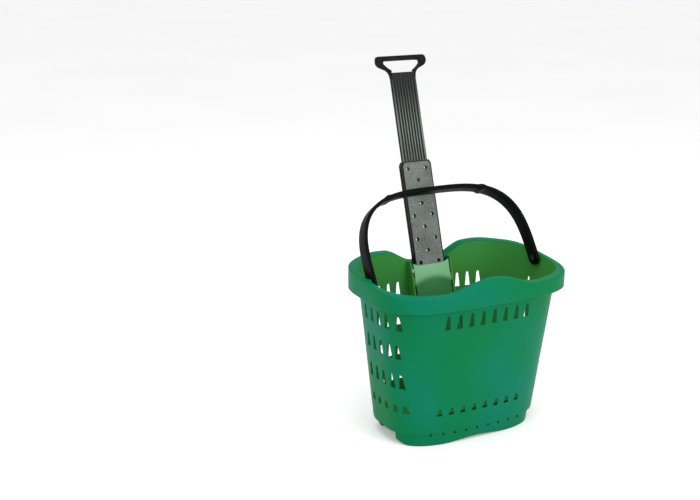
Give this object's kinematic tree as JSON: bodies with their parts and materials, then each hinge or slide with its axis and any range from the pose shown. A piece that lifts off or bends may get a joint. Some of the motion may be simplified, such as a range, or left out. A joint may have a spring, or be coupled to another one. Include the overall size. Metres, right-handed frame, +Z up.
{
  "type": "wheeled shopping basket",
  "caption": "Moulded shopping basket on two rear wheels and a front foot, with a swinging carry handle and a two-stage telescopic pull handle.",
  "frame": {"origin": "on the floor, under the middle of the whole object's box with the pull handle drawn out", "axes": "+X along the long side of the basket, +Y from the front to the pull handle at the back, +Z up"},
  "size_m": [0.52, 0.477, 0.8928],
  "materials": {
    "basket_green": "moulded polypropylene, satin gloss",
    "cover_black": "moulded, fine grain",
    "steel": "zinc-plated",
    "carry_black": "moulded, satin",
    "pivot_grey": "moulded",
    "sleeve_grey": "moulded, fine grain",
    "shoe_black": "moulded",
    "bar_dark": "moulded, ribbed",
    "grip_black": "moulded, ribbed",
    "fork_black": "moulded",
    "hub_black": "moulded",
    "tyre_rubber": "moulded rubber"
  },
  "bodies": {
    "root": {"basket": "basket_green", "channel_cover": "cover_black", "cover_screws": "steel", "carry_pivot_left": "pivot_grey", "carry_pivot_right": "pivot_grey", "wheel_fork_left": "fork_black", "wheel_fork_right": "fork_black", "fork_screws": "steel", "axle_left": "steel", "axle_right": "steel", "axle_clips": "steel"},
    "sleeve": {"pull_sleeve": "sleeve_grey", "sleeve_guide_shoe": "shoe_black", "sleeve_shoe_pins": "steel", "sleeve_detent_spring": "steel"},
    "bar": {"pull_bar": "bar_dark", "bar_guide_shoe": "shoe_black", "bar_shoe_pins": "steel", "bar_detent_spring": "steel", "pull_grip": "grip_black", "grip_pins": "steel"},
    "carry": {"carry_handle": "carry_black"},
    "wheel_left": {"wheel_hub_left": "hub_black", "tyre_left": "tyre_rubber"},
    "wheel_right": {"wheel_hub_right": "hub_black", "tyre_right": "tyre_rubber"}
  },
  "joints": [
    {"name": "sleeve_slide", "type": "slide", "parent": "root", "child": "sleeve", "axis": [0, 0.3117, 0.9502], "range_m": [-0.196, 0]},
    {"name": "bar_slide", "type": "slide", "parent": "sleeve", "child": "bar", "axis": [0, 0.3117, 0.9502], "range_m": [-0.211, 0]},
    {"name": "carry_swing", "type": "hinge", "parent": "root", "child": "carry", "pos_m": [0, -0.06351, 0.402], "axis": [1, 0, 0], "range_deg": [0, 109]},
    {"name": "wheel_left_spin", "type": "hinge", "parent": "root", "child": "wheel_left", "pos_m": [-0.168, -0.01251, 0.021], "axis": [1, 0, 0], "continuous": true},
    {"name": "wheel_right_spin", "type": "hinge", "parent": "root", "child": "wheel_right", "pos_m": [0.168, -0.01251, 0.021], "axis": [1, 0, 0], "continuous": true}
  ]
}
